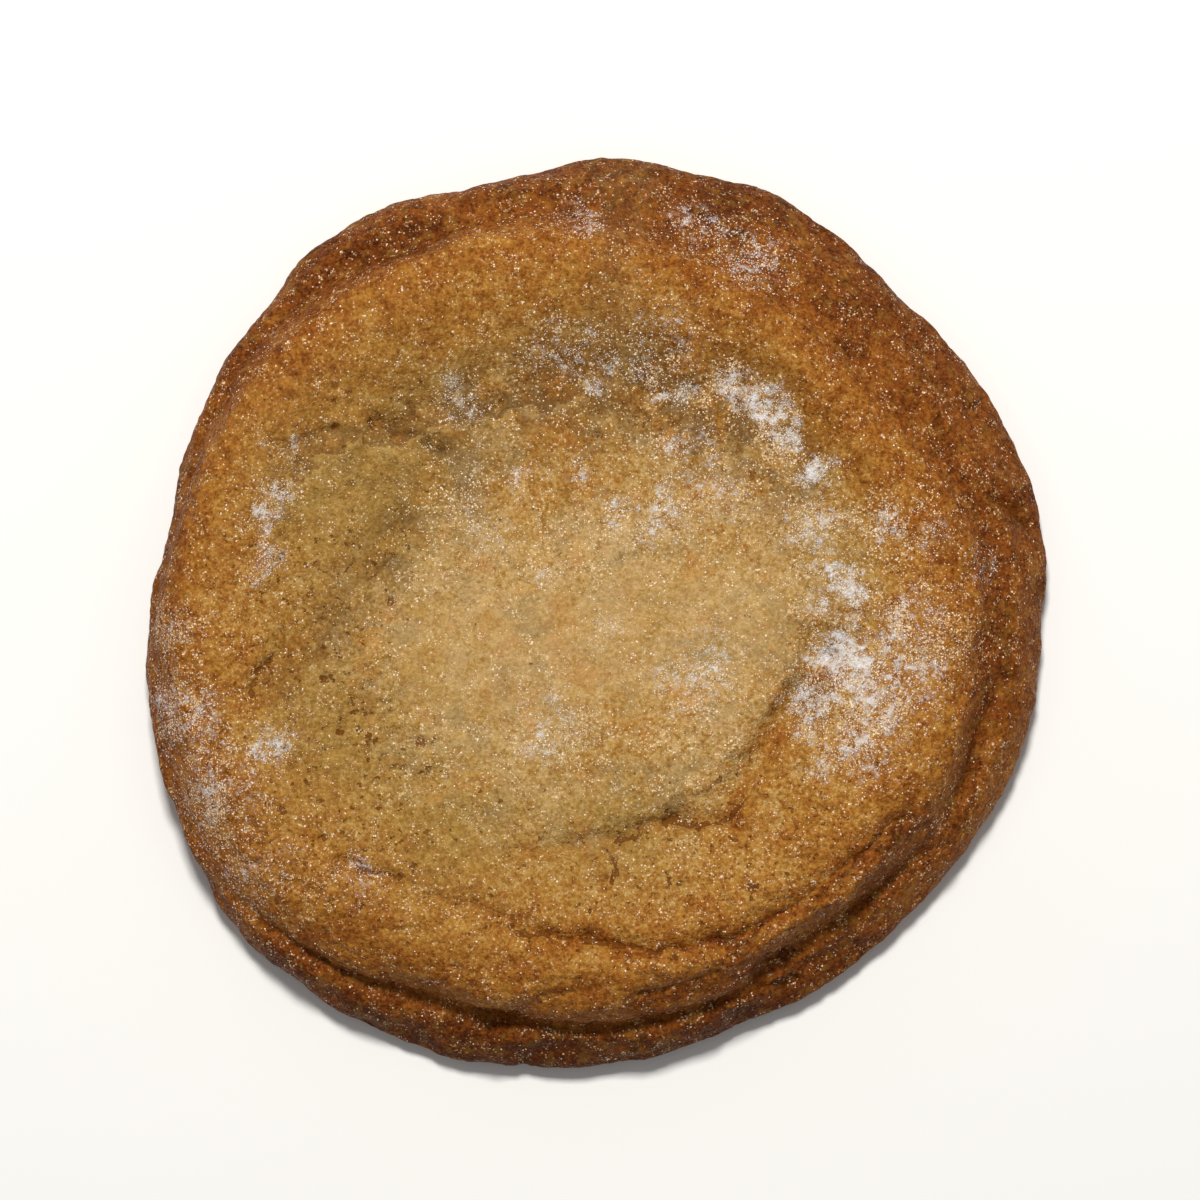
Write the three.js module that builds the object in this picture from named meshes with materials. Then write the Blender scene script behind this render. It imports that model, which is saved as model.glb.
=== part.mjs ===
// A round drop cookie of brown sugar dough, baked on a flat sheet. Millimetres, +Z up, resting on z = 0.
// The crust runs from a flat risen middle into a shallow dip, up over a soft raised ring, down a fold and
// out over a low spread skirt to a rounded edge. The underside is flat.
import * as THREE from 'three';

// ---- driving dimensions ----
const RING_ROWS = 37; // rows of facets from the middle of the crust to its widest edge
const FACETS_PER_ROW = 6; // each row holds this many more facets than the row inside it
const ROW_CROWDING = 0.82; // under 1 the rows stand closer towards the edge, where the folds are
const EDGE_AT = 51; // distance over the crust from its middle to the widest edge
const BASE_AT = 55.2; // distance over the crust to where the flat underside begins
const SIDE_ROWS = 4; // rows of facets from the widest edge down to the underside
const CRUST_COLOUR = '#a5733a';
const MIDDLE_HEIGHT = 10.7;

// The widest outline of the cookie: angle in degrees from +X towards +Y, distance from the middle.
const EDGE_RADIUS = [
  [0, 45.5],
  [14, 45.9],
  [24, 45.7],
  [36, 44.9],
  [45, 44.3],
  [65, 45.9],
  [79, 45.4],
  [90, 45.6],
  [102, 44.3],
  [112, 45.3],
  [125, 46],
  [142, 44.4],
  [150, 43.5],
  [157, 43.6],
  [170, 43],
  [186, 44.7],
  [204, 45.2],
  [212, 46.2],
  [225, 47.2],
  [234, 46.7],
  [242, 47.1],
  [257, 46.3],
  [268, 45.6],
  [290, 44],
  [302, 44.1],
  [315, 44],
  [336, 44.9],
  [350, 45.6],
];

// Lines that run once round the cookie. Each lies at one distance over the crust from the middle and
// gives its distance from the axis and its height at a few angles.
const LINES = [
  {
    name: 'risen middle',
    at: 10,
    radius: [[0, 10]],
    height: [
      [20, 10.9],
      [110, 10.5],
      [190, 10.5],
      [290, 11],
    ],
  },
  {
    name: 'rim of the risen middle',
    at: 20,
    radius: [
      [0, 20.8],
      [19, 22],
      [45, 22.8],
      [60, 21.3],
      [78, 18.9],
      [99, 20.5],
      [116, 19.6],
      [134, 21],
      [155, 19.2],
      [172, 20],
      [200, 21.2],
      [250, 21.3],
      [285, 20.6],
      [325, 19.4],
    ],
    height: [
      [0, 10.9],
      [60, 10.6],
      [100, 10.4],
      [140, 10.2],
      [170, 10.2],
      [200, 10.5],
      [240, 10.9],
      [300, 11],
    ],
  },
  {
    name: 'bottom of the dip',
    at: 23.2,
    radius: [
      [0, 23.3],
      [19, 25],
      [45, 26],
      [60, 24.3],
      [78, 21.6],
      [99, 22.9],
      [116, 22.5],
      [134, 24.4],
      [155, 22.4],
      [172, 23.4],
      [205, 24.6],
      [250, 24.3],
      [285, 23.3],
      [325, 21.9],
      [345, 22.3],
    ],
    height: [
      [0, 10.4],
      [25, 10.4],
      [50, 10.1],
      [70, 9.6],
      [100, 9.2],
      [140, 9.1],
      [165, 9.4],
      [190, 10],
      [215, 10.6],
      [245, 10.9],
      [280, 10.5],
      [325, 10],
    ],
  },
  {
    name: 'inner slope of the ring',
    at: 27.5,
    radius: [
      [0, 27.5],
      [45, 29],
      [78, 26.6],
      [99, 27],
      [134, 29.3],
      [165, 29.8],
      [190, 29.5],
      [225, 28.5],
      [270, 27.8],
      [330, 26.5],
    ],
    height: [
      [0, 11.3],
      [45, 10.9],
      [78, 10.5],
      [120, 10.3],
      [150, 9.8],
      [175, 9.9],
      [200, 10.8],
      [230, 11.5],
      [270, 11.8],
      [310, 11.8],
    ],
  },
  {
    name: 'crest of the ring',
    at: 33,
    radius: [
      [0, 33.4],
      [30, 31.6],
      [60, 32],
      [90, 33.3],
      [113, 34.7],
      [150, 35.6],
      [205, 36.6],
      [240, 35.4],
      [270, 34.9],
      [300, 34],
    ],
    height: [
      [10, 12.4],
      [40, 12.1],
      [75, 12.1],
      [113, 11.9],
      [150, 11.6],
      [185, 11.8],
      [225, 12.5],
      [262, 12.9],
      [300, 13.1],
      [335, 12.8],
    ],
  },
  {
    name: 'shoulder of the ring',
    at: 37.5,
    radius: [
      [0, 38],
      [13, 37.4],
      [30, 34.6],
      [60, 34.9],
      [90, 36.8],
      [113, 38.3],
      [135, 39.3],
      [180, 40.2],
      [208, 41.3],
      [240, 39.6],
      [270, 38.8],
      [300, 37.6],
      [330, 38.2],
    ],
    height: [
      [0, 11.6],
      [60, 11.4],
      [113, 11.2],
      [150, 10.9],
      [190, 10.8],
      [240, 11.5],
      [300, 12.1],
      [330, 12],
    ],
  },
  {
    name: 'brow over the fold',
    at: 40.5,
    radius: [
      [0, 39.6],
      [13, 39],
      [30, 36.2],
      [60, 36.5],
      [90, 38.3],
      [113, 39.6],
      [135, 41],
      [150, 41.1],
      [180, 42.2],
      [208, 43.6],
      [225, 43.1],
      [235, 42.5],
      [248, 40.9],
      [270, 40.7],
      [291, 39.9],
      [302, 38.6],
      [312, 38.5],
      [322, 39.4],
      [333, 39.8],
      [350, 39.7],
    ],
    height: [
      [0, 9.6],
      [30, 10],
      [60, 9.9],
      [113, 9.2],
      [150, 8.6],
      [180, 8.4],
      [205, 8.6],
      [240, 9],
      [270, 9.3],
      [300, 9.4],
      [330, 9.5],
    ],
  },
  {
    name: 'bottom of the fold',
    at: 43.5,
    radius: [
      [0, 41.5],
      [30, 38.4],
      [45, 38.2],
      [60, 38.6],
      [90, 39.8],
      [113, 40.7],
      [135, 42.2],
      [165, 42],
      [180, 43.2],
      [195, 44.3],
      [210, 45],
      [218, 45],
      [226, 44],
      [235, 43.2],
      [248, 41.6],
      [270, 41.4],
      [282, 41],
      [291, 40.7],
      [302, 39.4],
      [312, 39.4],
      [322, 40.5],
      [333, 41.2],
      [350, 41.6],
    ],
    height: [
      [0, 8.3],
      [30, 8.8],
      [60, 8.6],
      [90, 7.4],
      [113, 6.8],
      [150, 6.4],
      [180, 6.2],
      [210, 6.6],
      [225, 6.7],
      [240, 6.5],
      [260, 6.3],
      [300, 6.5],
      [315, 6.9],
      [330, 7.4],
      [345, 7.9],
    ],
  },
  {
    name: 'top of the skirt',
    at: 46.5,
    radius: [
      [0, 43.2],
      [30, 41],
      [45, 40.6],
      [60, 41],
      [90, 42.4],
      [113, 43],
      [135, 44],
      [150, 43.3],
      [168, 42.6],
      [180, 43.9],
      [195, 45],
      [210, 46],
      [225, 45.8],
      [240, 44.5],
      [255, 43.5],
      [270, 43],
      [291, 42.1],
      [302, 41.1],
      [315, 41.1],
      [330, 42.6],
      [350, 43.2],
    ],
    height: [
      [0, 7],
      [30, 7.4],
      [60, 7.3],
      [90, 6.6],
      [120, 6.2],
      [150, 5.5],
      [185, 5.1],
      [210, 5.3],
      [225, 5.9],
      [240, 6.1],
      [270, 6.1],
      [300, 6.1],
      [315, 6.4],
      [330, 6.7],
      [345, 6.9],
    ],
  },
  {
    name: 'widest edge',
    at: EDGE_AT,
    radius: EDGE_RADIUS,
    height: [
      [0, 2.9],
      [60, 3.1],
      [120, 2.9],
      [180, 2.7],
      [250, 2.5],
      [300, 2.7],
    ],
  },
  {
    name: 'foot',
    at: 53.8,
    radius: EDGE_RADIUS,
    inset: 0.8,
    height: [[0, 0.7]],
  },
  {
    name: 'start of the underside',
    at: BASE_AT,
    radius: EDGE_RADIUS,
    inset: 1.9,
    height: [[0, 0]],
  },
];

// Wrinkles pressed into the crust: the path seen from above, half the width and the depth.
const WRINKLES = [
  {
    name: 'long wrinkle over the lower part of the ring',
    path: [
      [-24.3, -25.4],
      [-19.8, -26.5],
      [-15.9, -28.4],
      [-10.9, -30.2],
      [-6.4, -31.5],
      [-2.2, -32.8],
      [0.2, -32.8],
      [4.2, -34],
      [8.4, -33.9],
      [12.4, -33.1],
    ],
    width: 1.2,
    depth: 0.6,
  },
  {
    name: 'its deeper end at the right',
    path: [
      [12.5, -33.4],
      [15.6, -32.6],
      [18.8, -30.9],
      [21.9, -28.8],
      [23.9, -26.8],
      [25.8, -25.6],
      [28.4, -23.8],
      [30.9, -21.4],
    ],
    width: 1.5,
    depth: 1,
  },
  {
    name: 'fold at the right of the risen middle',
    path: [
      [23.8, -4.5],
      [22, -7.1],
      [20, -10.1],
      [17.8, -13.5],
      [15.3, -17.5],
      [13.1, -20.5],
    ],
    width: 1.3,
    depth: 0.75,
  },
  {
    name: 'fold below the risen middle',
    path: [
      [12.6, -20.7],
      [8.4, -21],
      [3.6, -22],
      [0.5, -23.4],
      [-3.5, -23.8],
      [-7.6, -24.5],
    ],
    width: 1.15,
    depth: 0.65,
  },
  {
    name: 'fold left of the risen middle',
    path: [
      [-15.4, 15.7],
      [-17.3, 12],
      [-19.6, 8.2],
      [-22.3, 4],
      [-24.8, 1.3],
      [-27.6, -1.7],
      [-30.1, -4.3],
      [-32.6, -7.7],
    ],
    width: 2.1,
    depth: 0.42,
  },
  {
    name: 'crevice at its upper left',
    path: [
      [-20.5, 18.1],
      [-17.5, 16.5],
      [-15.6, 15.4],
    ],
    width: 1.2,
    depth: 0.9,
  },
  {
    name: 'second fold of the lower right rim',
    path: [
      [5.4, -38.6],
      [9.5, -37.8],
      [12.5, -36.8],
      [15.5, -35.8],
      [19.6, -34.4],
    ],
    width: 1.2,
    depth: 0.65,
  },
  {
    name: 'fold round the lobe at the bottom',
    path: [
      [-10, -41.1],
      [-8.2, -40.5],
      [-6, -39.5],
      [-3.4, -38.6],
      [0.4, -37.8],
    ],
    width: 1.1,
    depth: 0.4,
  },
  {
    name: 'crease in the right of the ring',
    path: [
      [30.7, 6.7],
      [37.7, 3.3],
    ],
    width: 1.1,
    depth: 0.3,
  },
  {
    name: 'crease in the upper left of the skirt',
    path: [
      [-24.5, 34.9],
      [-19.5, 35.9],
      [-15.6, 36.1],
    ],
    width: 1.2,
    depth: 0.5,
  },
  {
    name: 'short crease above it',
    path: [
      [-19.8, 37.9],
      [-15.6, 39],
    ],
    width: 1.1,
    depth: 0.4,
  },
  {
    name: 'crease at the left edge',
    path: [
      [-39.3, -7.9],
      [-37.3, -13.9],
    ],
    width: 1.3,
    depth: 0.3,
  },
  {
    name: 'fold down the right rim',
    path: [
      [39.1, -2.9],
      [37.7, -6.9],
      [36.6, -9.3],
    ],
    width: 1.1,
    depth: 0.4,
  },
  {
    name: 'crease between ring and skirt at the right',
    path: [
      [26.7, -29.6],
      [32.2, -25.6],
      [35.7, -23],
      [37.1, -18.9],
      [39.1, -13.3],
      [41.1, -6.9],
    ],
    width: 1.1,
    depth: 0.55,
  },
  {
    name: 'upper crease of the lower right skirt',
    path: [
      [17.7, -37.3],
      [20.6, -35.7],
      [26.6, -33.7],
    ],
    width: 1.1,
    depth: 0.4,
  },
  {
    name: 'lower crease of the lower right skirt',
    path: [
      [14.5, -40.7],
      [19.6, -38.3],
    ],
    width: 1.1,
    depth: 0.4,
  },
  {
    name: 'crease at the bottom of the skirt',
    path: [
      [-6.4, -45.2],
      [-4.5, -44],
      [-1.5, -43.6],
    ],
    width: 1.1,
    depth: 0.45,
  },
  {
    name: 'crease at the lower left of the skirt',
    path: [
      [-22.3, -41.3],
      [-19.3, -42.3],
      [-16.3, -43.7],
    ],
    width: 1.1,
    depth: 0.35,
  },
  {
    name: 'crease in the right edge',
    path: [
      [40.1, 11.5],
      [41.8, 9.9],
      [43.5, 8.4],
    ],
    width: 1.1,
    depth: 0.35,
  },
];

// Soft swells and hollows in the crust: place seen from above, reach and height.
const SWELLS = [
  { x: -3.7, y: 21.3, reach: 3, height: 0.4 },
  { x: -15.7, y: 14.6, reach: 3.2, height: 0.5 },
  { x: -18, y: 19.8, reach: 3, height: -0.5 },
  { x: -24, y: -5, reach: 6, height: 0.5 },
  { x: -25.5, y: 6, reach: 4, height: 0.4 },
  { x: 8.5, y: -9.5, reach: 4.5, height: -0.3 },
  { x: 22.3, y: -4, reach: 2.4, height: -0.5 },
  { x: 5, y: -27, reach: 6, height: 0.35 },
  { x: 25, y: -26, reach: 3.5, height: 0.45 },
  { x: -34, y: -19, reach: 5, height: 0.35 },
  { x: 27, y: 24, reach: 4, height: -0.3 },
  { x: 30, y: -12, reach: 5, height: 0.3 },
];

// Random unevenness of the baked crust: size of the bumps, and how far they stand out on the ring and on
// the spread skirt.
const UNEVENNESS = [
  { size: 13, ring: 0.28, skirt: 0.24 },
  { size: 5.2, ring: 0.22, skirt: 0.3 },
  { size: 2.7, ring: 0.15, skirt: 0.22 },
];
// Distances over the crust between which ring unevenness passes into skirt unevenness.
const SKIRT_FROM = 42;
const SKIRT_TO = 46;
const BUMPS_FROM = [31.7, 12.3, 5.1]; // where in the field of random bumps the cookie lies
const SLOPE_STEP = 0.05; // the step over the crust from which its slope is taken

// ---- curves ----
// A smooth curve through (place, value) pairs, with slopes taken from the neighbours.
function through(places, values, place) {
  let i = 0;
  while (i < places.length - 2 && place > places[i + 1]) {
    i += 1;
  }
  const slope = (j) => {
    const a = Math.max(j - 1, 0);
    const b = Math.min(j + 1, places.length - 1);
    return (values[b] - values[a]) / (places[b] - places[a]);
  };
  const span = places[i + 1] - places[i];
  const t = (place - places[i]) / span;
  const t2 = t * t;
  const t3 = t2 * t;
  const start = (2 * t3 - 3 * t2 + 1) * values[i] + (t3 - 2 * t2 + t) * span * slope(i);
  const end = (3 * t2 - 2 * t3) * values[i + 1] + (t3 - t2) * span * slope(i + 1);
  return start + end;
}

// The same curve closed round the cookie, for pairs of angle and value.
function around(pairs, degrees) {
  if (pairs.length === 1) {
    return pairs[0][1];
  }
  const before = pairs.slice(-2).map(([a, v]) => [a - 360, v]);
  const after = pairs.slice(0, 2).map(([a, v]) => [a + 360, v]);
  const ring = [...before, ...pairs, ...after];
  return through(
    ring.map(([a]) => a),
    ring.map(([, v]) => v),
    degrees,
  );
}

// The section of the crust at one angle, as distances from the axis and heights along the crust.
function sectionAt(degrees) {
  const places = [-LINES[0].at, 0];
  const radii = [-LINES[0].radius[0][1], 0];
  const heights = [around(LINES[0].height, (degrees + 180) % 360), MIDDLE_HEIGHT];
  for (const line of LINES) {
    places.push(line.at);
    radii.push(around(line.radius, degrees) - (line.inset ?? 0));
    heights.push(around(line.height, degrees));
  }
  return { places, radii, heights };
}

// ---- unevenness ----
// A random number from -1 to 1 for each corner of a lattice, from its three whole numbers.
function corner(ix, iy, iz) {
  let h = Math.imul(ix, 0x27d4eb2d) ^ Math.imul(iy, 0x165667b1) ^ Math.imul(iz, 0x1b873593);
  h = Math.imul(h ^ (h >>> 15), 0x2c1b3c6d);
  h = Math.imul(h ^ (h >>> 12), 0x297a2d39);
  h ^= h >>> 15;
  return ((h >>> 0) / 4294967295) * 2 - 1;
}

// Random bumps one unit in size: the corners' numbers blended smoothly between them.
function bumps(x, y, z) {
  const ix = Math.floor(x);
  const iy = Math.floor(y);
  const iz = Math.floor(z);
  const ease = (f) => f * f * f * (f * (6 * f - 15) + 10);
  const fx = ease(x - ix);
  const fy = ease(y - iy);
  const fz = ease(z - iz);
  let sum = 0;
  for (let c = 0; c < 8; c += 1) {
    const a = c & 1;
    const b = (c >> 1) & 1;
    const d = (c >> 2) & 1;
    const share = (a ? fx : 1 - fx) * (b ? fy : 1 - fy) * (d ? fz : 1 - fz);
    sum += share * corner(ix + a, iy + b, iz + d);
  }
  return sum;
}

// Distance seen from above to the nearest point of a path of straight stretches.
function distanceToPath(path, x, y) {
  let nearest = Infinity;
  for (let i = 0; i < path.length - 1; i += 1) {
    const [ax, ay] = path[i];
    const dx = path[i + 1][0] - ax;
    const dy = path[i + 1][1] - ay;
    const t = Math.min(1, Math.max(0, ((x - ax) * dx + (y - ay) * dy) / (dx * dx + dy * dy)));
    nearest = Math.min(nearest, Math.hypot(x - ax - t * dx, y - ay - t * dy));
  }
  return nearest;
}

// How far the crust stands out of its smooth section at one point.
function relief(x, y, z, at) {
  const skirt = Math.min(1, Math.max(0, (at - SKIRT_FROM) / (SKIRT_TO - SKIRT_FROM)));
  let out = 0;
  for (const layer of UNEVENNESS) {
    const s = layer.size;
    const height = layer.ring + skirt * (layer.skirt - layer.ring);
    out += height * bumps(x / s + BUMPS_FROM[0], y / s + BUMPS_FROM[1], z / s + BUMPS_FROM[2]);
  }
  for (const swell of SWELLS) {
    const d = Math.hypot(x - swell.x, y - swell.y) / swell.reach;
    out += swell.height * Math.exp(-d * d);
  }
  for (const wrinkle of WRINKLES) {
    const d = distanceToPath(wrinkle.path, x, y) / wrinkle.width;
    out -= wrinkle.depth * Math.exp(-d * d);
  }
  const fade = Math.min(1, Math.max(0, (BASE_AT - at) / (BASE_AT - EDGE_AT)));
  return out * fade;
}

// The point of the crust at one angle and distance over it: the section, moved out along its own normal
// by the relief.
function crustPoint(section, degrees, at) {
  const angle = (degrees * Math.PI) / 180;
  const radius = through(section.places, section.radii, at);
  const height = through(section.places, section.heights, at);
  const outwards = through(section.places, section.radii, at + SLOPE_STEP) - radius;
  const upwards = through(section.places, section.heights, at + SLOPE_STEP) - height;
  const length = Math.hypot(outwards, upwards);
  const x = radius * Math.cos(angle);
  const y = radius * Math.sin(angle);
  const lift = relief(x, y, height, at);
  const r = radius - (lift * upwards) / length;
  const z = height + (lift * outwards) / length;
  return [r * Math.cos(angle), r * Math.sin(angle), Math.max(z, 0)];
}

// ---- the cookie ----
function cookieGeometry() {
  const points = [crustPoint(sectionAt(0), 0, 0)];
  const faces = [];
  const columns = FACETS_PER_ROW * RING_ROWS;
  const first = (row) => 1 + (FACETS_PER_ROW * row * (row - 1)) / 2;

  // Crust, from the middle out to the widest edge.
  for (let row = 1; row <= RING_ROWS; row += 1) {
    const count = FACETS_PER_ROW * row;
    const at = EDGE_AT * (row / RING_ROWS) ** ROW_CROWDING;
    for (let i = 0; i < count; i += 1) {
      const degrees = (360 * i) / count;
      points.push(crustPoint(sectionAt(degrees), degrees, at));
    }
    const inner = (i) => (row === 1 ? 0 : first(row - 1) + (i % (count - FACETS_PER_ROW)));
    const outer = (i) => first(row) + (i % count);
    for (let side = 0; side < FACETS_PER_ROW; side += 1) {
      for (let j = 0; j < row; j += 1) {
        const a = side * (row - 1) + j;
        const b = side * row + j;
        faces.push(inner(a), outer(b), outer(b + 1));
        if (j < row - 1) {
          faces.push(inner(a), outer(b + 1), inner(a + 1));
        }
      }
    }
  }

  // Side, from the widest edge down and under to the flat underside.
  let above = first(RING_ROWS);
  for (let row = 1; row <= SIDE_ROWS; row += 1) {
    const at = EDGE_AT + ((BASE_AT - EDGE_AT) * row) / SIDE_ROWS;
    const below = points.length;
    for (let i = 0; i < columns; i += 1) {
      const degrees = (360 * i) / columns;
      points.push(crustPoint(sectionAt(degrees), degrees, at));
    }
    for (let i = 0; i < columns; i += 1) {
      const next = (i + 1) % columns;
      faces.push(above + i, below + i, below + next);
      faces.push(above + i, below + next, above + next);
    }
    above = below;
  }

  // Flat underside.
  const middle = points.length;
  points.push([0, 0, 0]);
  for (let i = 0; i < columns; i += 1) {
    faces.push(middle, above + ((i + 1) % columns), above + i);
  }

  const geometry = new THREE.BufferGeometry();
  geometry.setAttribute('position', new THREE.Float32BufferAttribute(points.flat(), 3));
  geometry.setIndex(faces);
  geometry.computeBoundingBox();
  const centre = geometry.boundingBox.getCenter(new THREE.Vector3());
  geometry.translate(-centre.x, -centre.y, -geometry.boundingBox.min.z);
  geometry.computeVertexNormals();
  return geometry;
}

const crust = new THREE.MeshStandardMaterial({
  color: CRUST_COLOUR,
  roughness: 0.85,
  metalness: 0,
});
crust.name = 'baked_crust';

const cookie = new THREE.Mesh(cookieGeometry(), crust);
cookie.name = 'cookie';

const brownSugarCookie = new THREE.Group();
brownSugarCookie.name = 'brown_sugar_cookie';
brownSugarCookie.add(cookie);

export default brownSugarCookie;
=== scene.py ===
"""The looks of the brown sugar cookie: its crust as one fine surface, with loose sugar on it.

Lengths are millimetres up to where a mesh is made. Angles are degrees, turning from +X to +Y as seen
from above. "Distance over the crust" runs from the middle of the crust outwards and down."""

import math

import bpy
import numpy as np
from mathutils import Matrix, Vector


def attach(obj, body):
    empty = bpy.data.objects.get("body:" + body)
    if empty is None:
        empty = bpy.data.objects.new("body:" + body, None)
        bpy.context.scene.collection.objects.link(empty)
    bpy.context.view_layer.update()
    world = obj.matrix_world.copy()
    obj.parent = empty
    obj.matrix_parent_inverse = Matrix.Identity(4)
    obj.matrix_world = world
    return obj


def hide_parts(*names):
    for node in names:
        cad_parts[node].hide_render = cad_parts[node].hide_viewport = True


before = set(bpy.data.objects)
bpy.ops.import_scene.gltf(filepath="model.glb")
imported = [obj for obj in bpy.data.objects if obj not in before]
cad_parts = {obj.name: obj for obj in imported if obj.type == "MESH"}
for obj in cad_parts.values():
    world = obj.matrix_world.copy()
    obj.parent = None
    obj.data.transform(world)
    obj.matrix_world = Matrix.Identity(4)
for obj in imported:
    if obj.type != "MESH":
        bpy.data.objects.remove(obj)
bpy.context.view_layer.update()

MM = 0.001
RING_ROWS = 168  # rows of facets from the middle of the crust to its widest edge
FACETS_PER_ROW = 6  # how many more facets each row has than the one inside it
ROW_CROWDING = 0.9  # below 1, the rows lie closer together towards the edge
SIDE_ROWS = 12  # rows of facets from the widest edge to the underside
EDGE_AT = 51.0  # distance over the crust from its middle to the widest edge
BASE_AT = 55.2  # and on to the start of the underside
MIDDLE_HEIGHT = 10.7
SKIRT_FROM, SKIRT_TO = 42, 46  # where the ring's unevenness gives way to the skirt's
FINE_FADE = 1.5  # over this distance above the underside the fine relief dies away
BASE_INSET = 0.4  # the underside is drawn in by this much, which rounds its edge

# How far the widest edge lies from the axis: angle in degrees, distance.
EDGE_RADIUS = [
    (0, 45.5), (14, 45.9), (24, 45.7), (36, 44.9), (45, 44.3), (65, 45.9), (79, 45.4), (90, 45.6),
    (102, 44.3), (112, 45.3), (125, 46), (142, 44.4), (150, 43.5), (157, 43.6), (170, 43), (186, 44.7),
    (204, 45.2), (212, 46.2), (225, 47.2), (234, 46.7), (242, 47.1), (257, 46.3), (268, 45.6),
    (290, 44), (302, 44.1), (315, 44), (336, 44.9), (350, 45.6),
]  # fmt: skip

# Lines round the cookie, from the middle out: distance over the crust, (angle, radius) pairs,
# (angle, height) pairs, and how far the line is drawn in.
LINES = [
    # risen middle
    (10,
     [(0, 10)],
     [(20, 10.9), (110, 10.5), (190, 10.5), (290, 11)], 0),
    # rim of the risen middle
    (20,
     [(0, 20.8), (19, 22), (45, 22.8), (60, 21.3), (78, 18.9), (99, 20.5), (116, 19.6), (134, 21),
      (155, 19.2), (172, 20), (200, 21.2), (250, 21.3), (285, 20.6), (325, 19.4)],
     [(0, 10.9), (60, 10.6), (100, 10.4), (140, 10.2), (170, 10.2), (200, 10.5), (240, 10.9),
      (300, 11)], 0),
    # bottom of the dip
    (23.2,
     [(0, 23.3), (19, 25), (45, 26), (60, 24.3), (78, 21.6), (99, 22.9), (116, 22.5), (134, 24.4),
      (155, 22.4), (172, 23.4), (205, 24.6), (250, 24.3), (285, 23.3), (325, 21.9), (345, 22.3)],
     [(0, 10.4), (25, 10.4), (50, 10.1), (70, 9.6), (100, 9.2), (140, 9.1), (165, 9.4), (190, 10),
      (215, 10.6), (245, 10.9), (280, 10.5), (325, 10)], 0),
    # inner slope of the ring
    (27.5,
     [(0, 27.5), (45, 29), (78, 26.6), (99, 27), (134, 29.3), (165, 29.8), (190, 29.5), (225, 28.5),
      (270, 27.8), (330, 26.5)],
     [(0, 11.3), (45, 10.9), (78, 10.5), (120, 10.3), (150, 9.8), (175, 9.9), (200, 10.8),
      (230, 11.5), (270, 11.8), (310, 11.8)], 0),
    # crest of the ring
    (33,
     [(0, 33.4), (30, 31.6), (60, 32), (90, 33.3), (113, 34.7), (150, 35.6), (205, 36.6),
      (240, 35.4), (270, 34.9), (300, 34)],
     [(10, 12.4), (40, 12.1), (75, 12.1), (113, 11.9), (150, 11.6), (185, 11.8), (225, 12.5),
      (262, 12.9), (300, 13.1), (335, 12.8)], 0),
    # shoulder of the ring
    (37.5,
     [(0, 38), (13, 37.4), (30, 34.6), (60, 34.9), (90, 36.8), (113, 38.3), (135, 39.3),
      (180, 40.2), (208, 41.3), (240, 39.6), (270, 38.8), (300, 37.6), (330, 38.2)],
     [(0, 11.6), (60, 11.4), (113, 11.2), (150, 10.9), (190, 10.8), (240, 11.5), (300, 12.1),
      (330, 12)], 0),
    # brow over the fold
    (40.5,
     [(0, 39.6), (13, 39), (30, 36.2), (60, 36.5), (90, 38.3), (113, 39.6), (135, 41), (150, 41.1),
      (180, 42.2), (208, 43.6), (225, 43.1), (235, 42.5), (248, 40.9), (270, 40.7), (291, 39.9),
      (302, 38.6), (312, 38.5), (322, 39.4), (333, 39.8), (350, 39.7)],
     [(0, 9.6), (30, 10), (60, 9.9), (113, 9.2), (150, 8.6), (180, 8.4), (205, 8.6), (240, 9),
      (270, 9.3), (300, 9.4), (330, 9.5)], 0),
    # bottom of the fold
    (43.5,
     [(0, 41.5), (30, 38.4), (45, 38.2), (60, 38.6), (90, 39.8), (113, 40.7), (135, 42.2),
      (165, 42), (180, 43.2), (195, 44.3), (210, 45), (218, 45), (226, 44), (235, 43.2),
      (248, 41.6), (270, 41.4), (282, 41), (291, 40.7), (302, 39.4), (312, 39.4), (322, 40.5),
      (333, 41.2), (350, 41.6)],
     [(0, 8.3), (30, 8.8), (60, 8.6), (90, 7.4), (113, 6.8), (150, 6.4), (180, 6.2), (210, 6.6),
      (225, 6.7), (240, 6.5), (260, 6.3), (300, 6.5), (315, 6.9), (330, 7.4), (345, 7.9)], 0),
    # top of the skirt
    (46.5,
     [(0, 43.2), (30, 41), (45, 40.6), (60, 41), (90, 42.4), (113, 43), (135, 44), (150, 43.3),
      (168, 42.6), (180, 43.9), (195, 45), (210, 46), (225, 45.8), (240, 44.5), (255, 43.5),
      (270, 43), (291, 42.1), (302, 41.1), (315, 41.1), (330, 42.6), (350, 43.2)],
     [(0, 7), (30, 7.4), (60, 7.3), (90, 6.6), (120, 6.2), (150, 5.5), (185, 5.1), (210, 5.3),
      (225, 5.9), (240, 6.1), (270, 6.1), (300, 6.1), (315, 6.4), (330, 6.7), (345, 6.9)], 0),
    # widest edge
    (EDGE_AT,
     EDGE_RADIUS,
     [(0, 2.9), (60, 3.1), (120, 2.9), (180, 2.7), (250, 2.5), (300, 2.7)], 0),
    # foot
    (53.8,
     EDGE_RADIUS,
     [(0, 0.7)], 0.8),
    # start of the underside
    (BASE_AT,
     EDGE_RADIUS,
     [(0, 0)], 1.9),
]  # fmt: skip

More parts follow.
